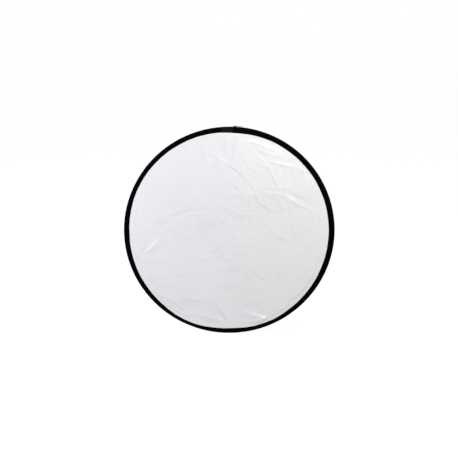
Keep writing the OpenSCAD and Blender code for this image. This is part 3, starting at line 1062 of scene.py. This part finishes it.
def slider_bridge():
    """Arched strap over the pull's bar, rising from two feet in the top plate."""
    rise, half_l, half_w, strap = 2.2 * MM, 4.0 * MM, 0.9 * MM, 0.62 * MM
    foot, squareness, bevel = 0.95 * MM, 0.45, 0.14 * MM
    turn = np.radians(np.linspace(180, 0, 25))
    arch = np.stack([np.cos(turn), np.sin(turn)], axis=-1)
    arch = np.sign(arch) * np.abs(arch) ** squareness
    outer, inner = arch * (half_l, rise), arch * (half_l - foot, rise - strap)
    outer[[0, -1], 1] = inner[[0, -1], 1] = -0.1 * MM
    middle = (outer + inner) / 2
    edges = ((-half_w, bevel), (-half_w + bevel, 0.0), (half_w - bevel, 0.0), (half_w, bevel))
    loop = [(outer, *edge) for edge in edges] + [(inner, *edge) for edge in edges[::-1]]
    lines = []
    for line, y, pull_in in loop:
        line = middle + (line - middle) * (1 - 2 * pull_in / strap)
        lines.append(on_rim(line[:, 0], PLATE_TOP + line[:, 1], np.full(len(line), y)))
    table = np.stack(lines, axis=1)
    rows, cols = table.shape[:2]
    faces = quads(rows, cols, wrap_cols=True) + end_caps(rows, cols)
    obj = piece("slider_bridge", table, faces, ENAMEL)
    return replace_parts(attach(obj, "slider"), "slider_bridge")


# The pull's outline as arcs: centre and radius in mm, first and last angle, number of points
PULL_OUTLINE = (
    (0.05, -2.45, 0.55, 180, 270, 5), (6.2, -3.0, 0.01, 270, 290, 2), (11, -2.3, 0.01, 280, 290, 2),
    (18, -2.5, 0.01, 270, 280, 2), (25, 0, 3.0, -80, 80, 21), (18, 2.5, 0.01, 80, 90, 2),
    (11, 2.3, 0.01, 70, 80, 2), (6.2, 3.0, 0.01, 70, 90, 2), (0.05, 2.45, 0.55, 90, 180, 5),
)


def pull_tab():
    """Flat metal tab: a window for the bridge, a waist, a holed round end and grip ridges."""
    pivot = Vector(joint("pull_swing")["pos_m"])
    bar_h = math.hypot(pivot.x, pivot.z)
    outline = np.concatenate([arc(*corner_arc) for corner_arc in PULL_OUTLINE])
    window = rounded(tapered(0.6, 1.2, 4.7, 1.2), 0.4 * MM)
    hole = arc(24.4, 0, 1.1, 0, 345, 24)
    parts = [plate([outline, window[::-1], hole[::-1]], 1.1 * MM, 0.22 * MM)]
    for x in np.arange(12, 20, 1.5):
        ridge = rounded(tapered(x, 1.8, x + 0.6, 1.8), 0.25 * MM)
        parts.append(plate([ridge], 1.5 * MM, 0.15 * MM))
    points, faces = joined(parts)
    straight = (math.sin(SLIDER_A), 0, -math.cos(SLIDER_A))
    up = np.array([math.cos(SLIDER_A), 0, math.sin(SLIDER_A)])
    placed = np.array(pivot) + points @ np.array([straight, (0, -1, 0), up])
    placed += (bar_h - pivot.length) * up
    obj = outward(piece("pull_tab", placed, faces, ENAMEL), weld=True)
    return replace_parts(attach(obj, "pull"), "pull_tab")


# ---- Label ----

LABEL_GAP = 0.9 * MM


def label():
    """Blank woven label across the front binding, its two ends folded under."""
    a = np.linspace(*LABEL_ENDS, 70)
    low, high = inner_edge(a, 1) + LABEL_GAP, CORNER_CENTRE[0] - 0.4 * MM
    from_end = np.minimum(a - a[0], a[-1] - a) * RIM_R / MM
    # twice as thick where its ends are folded under, and thin at the very ends
    folded, ends = 1 / (1 + np.exp((from_end - 3.2) * 4)), np.exp(-((from_end / 0.25) ** 2))
    thick = (0.32 + 0.16 * folded - 0.22 * ends) * MM
    ripple = 0.05 * MM * np.sin(a * RIM_R / MM * 1.1)
    half = ((0, 0.0), (0, 0.7), (0.02, 1.0), (0.25, 1.05))
    section = []
    for share, rise in (*half, (0.5, 1.1), *((1 - share, rise) for share, rise in half[::-1])):
        top = FACE_D + 0.02 * MM + thick * rise + ripple * (rise > 1)
        section.append(np.stack([low + (high - low) * share, top], axis=-1))
    table, wear = np.stack(section, axis=1), [0, 0.5, 0.6, 0, 0, 0, 0.6, 0.5, 0]
    obj = sweep("label", a, table, LABEL_CLOTH, wear=wear)
    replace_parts(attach(obj, "right_half"), "label")
    inset = 1.3 * MM
    first, last = a[0] + inset / RIM_R, a[-1] - inset / RIM_R
    angle, share = round_line([(first, 0), (last, 0), (last, 1), (first, 1)], (14, 6, 14, 6)).T
    low, high = inner_edge(angle, 1) + LABEL_GAP + inset, high - inset
    seam = at(low + (high - low) * share, angle, FACE_D + 0.40 * MM)
    rows = [frames_along(seam, np.array([0.0, -1.0, 0.0]))]
    stitches = sewn("label_stitching", rows, 2.2 * MM, 0.4 * MM, LABEL_THREAD)
    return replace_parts(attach(stitches, "right_half"), "label_stitching")


# ---- Inside the cover ----

def hoop():
    """Spring-steel band, open at its joint."""
    joint_a = float(np.mean(span("hoop_ferrule")))
    gap = 0.5 * MM / HOOP_R[0]
    a = degrees_apart(joint_a + gap, joint_a + TURN - gap, 0.3)
    low, high = HOOP_R
    half, ease = HOOP_HALF_W, 0.15 * MM
    upper = [(low + ease, half), (high - ease, half), (high, half - ease)]
    section = upper + [(r, -d) for r, d in upper[::-1]] + [(low, ease - half), (low, half - ease)]
    obj = sweep("hoop", a, constant(section, a), HOOP_STEEL)
    across_fold(obj, *both("hoop"))
    coated("hoop_ferrule", CRIMP_STEEL)


def diffuser_binding():
    """Folded tape that grips the diffuser's edge and holds the hoop in its fold."""
    a = degrees_apart(0, TURN - TURN / 1200, 0.3)
    first, last = radii("diffuser_binding_left")
    shoulder, neck = HOOP_R[0] - 1.5 * MM, HOOP_R[0] - 4.7 * MM
    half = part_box("diffuser_binding_left")[1].y
    tape, jaw = 0.5 * MM, 0.2 * MM
    upper = [(first, jaw), (first, jaw + tape), (neck, jaw + tape), (shoulder, half - 0.05 * MM),
             (last - 0.4 * MM, half), (last, half - 0.4 * MM)]
    ease = 0.3 * MM
    lining = [(last - tape, half - tape - ease), (shoulder + ease, half - tape), (neck + ease, jaw)]
    section = upper + [(r, -d) for r, d in upper[::-1]] + [(r, -d) for r, d in lining[::-1]] + lining
    obj = sweep("diffuser_binding", a, constant(section, a), BLACK_TAPE, whole=True)
    across_fold(obj, *both("diffuser_binding"))
    row = float(np.mean(radii("diffuser_stitching_left")))
    b = np.arange(480) * TURN / 480
    rows = [row_of_stitches(b, np.full(len(b), row), jaw + tape, side) for side in (1, -1)]
    seam = sewn("diffuser_stitching", rows, 3.8 * MM, 0.5 * MM, BLACK_THREAD)
    across_fold(seam, *both("diffuser_stitching"))


# ---- Build ----

face_and_lining(1, CREASES, 11, ("front_face", "front_panel", WHITE_SATIN, "white_cloth"),
                ("front_lining", "front_lining", SILVER_FOIL, "silver_cloth"))
face_and_lining(-1, BACK_CREASES, 23, ("back_face", "back_panel", BLACK_NYLON, "black_cloth"),
                ("back_lining", "back_lining", GOLD_FOIL, "gold_cloth"))
diffuser()
diffuser_binding()
hoop()
for facing, title in ((1, "front"), (-1, "back")):
    binding(title + "_binding", facing)
    binding_stitching(title + "_stitching", facing)
    zip_tape("zip_tape_" + title, facing)
    zip_coil("zip_coil_" + title, facing)
edge_gusset()
TAB_W, TAB_GAP = math.radians(1.9), math.radians(0.1)
end_tab("zip_top_tab", ZIP_ENDS[1] - TAB_W / 2 - TAB_GAP, TAB_W)
end_tab("zip_bottom_tab", ZIP_ENDS[0] + TAB_W / 2, TAB_W)
for metal in ("zip_top_stops", "zip_bottom_stop"):
    coated(metal, ENAMEL)
slider_body()
slider_bridge()
pull_tab()
label()


# ---- Studio ----

def pale_floor():
    """Wide pale floor just under the disc, bright enough to run into the background."""
    half = 40.0
    low = cad_box[0][2] - 4 * MM
    mesh = bpy.data.meshes.new("floor")
    corners = ((-half, -half), (half, -half), (half, half), (-half, half))
    mesh.from_pydata([(x, y, low) for x, y in corners], [], [[0, 1, 2, 3]])
    floor = bpy.data.objects.new("floor", mesh)
    bpy.context.scene.collection.objects.link(floor)
    glow = {"Emission_Color": (1, 1, 1, 1), "Emission_Strength": 0.956}
    paint = Paint("pale_floor", (0.35, 0.35, 0.35), 0.9, **glow)
    mesh.materials.append(paint.material)


def lamp(name, place, size, power, colour):
    """A round lamp that looks at the disc's middle."""
    light = bpy.data.lights.new(name, "AREA")
    light.shape, light.size, light.energy, light.color = "DISK", size, power, colour
    obj = bpy.data.objects.new(name, light)
    obj.location = place
    obj.rotation_euler = (-Vector(place)).to_track_quat("-Z", "Y").to_euler()
    bpy.context.scene.collection.objects.link(obj)


def world(seen, lit):
    """White surroundings: seen is their brightness to the camera, lit the light that they give."""
    sky = bpy.data.worlds.new("studio")
    sky.use_nodes = True
    nodes, links = sky.node_tree.nodes, sky.node_tree.links
    bright = nodes["Background"]
    bright.inputs["Color"].default_value = (1, 1, 1, 1)
    ray = nodes.new("ShaderNodeLightPath")
    level = nodes.new("ShaderNodeMapRange")
    level.inputs["To Min"].default_value = lit
    level.inputs["To Max"].default_value = seen
    links.new(ray.outputs["Is Camera Ray"], level.inputs["Value"])
    links.new(level.outputs["Result"], bright.inputs["Strength"])
    bpy.context.scene.world = sky


def camera():
    """Looks down a little on the disc's middle, from far enough to see it nearly flat."""
    distance, raised = 4.10, math.radians(12)
    lens = bpy.data.cameras.new("camera")
    lens.lens, lens.sensor_width = 85, 36
    lens.clip_end = 200
    lens.shift_x, lens.shift_y = -0.0005, 0.006
    obj = bpy.data.objects.new("camera", lens)
    obj.location = Vector((0, -math.cos(raised), math.sin(raised))) * distance
    obj.rotation_euler = (-obj.location).to_track_quat("-Z", "Y").to_euler()
    bpy.context.scene.collection.objects.link(obj)
    bpy.context.scene.camera = obj


pale_floor()
world(1.0, 0.10)
lamp("key", (0.80, -0.60, 1.30), 0.30, 28, (1.0, 0.995, 0.98))
lamp("fill", (-1.2, -0.60, 0.42), 0.4, 11.2, (0.94, 0.91, 1.0))
camera()
bpy.context.scene.view_settings.view_transform = "Standard"
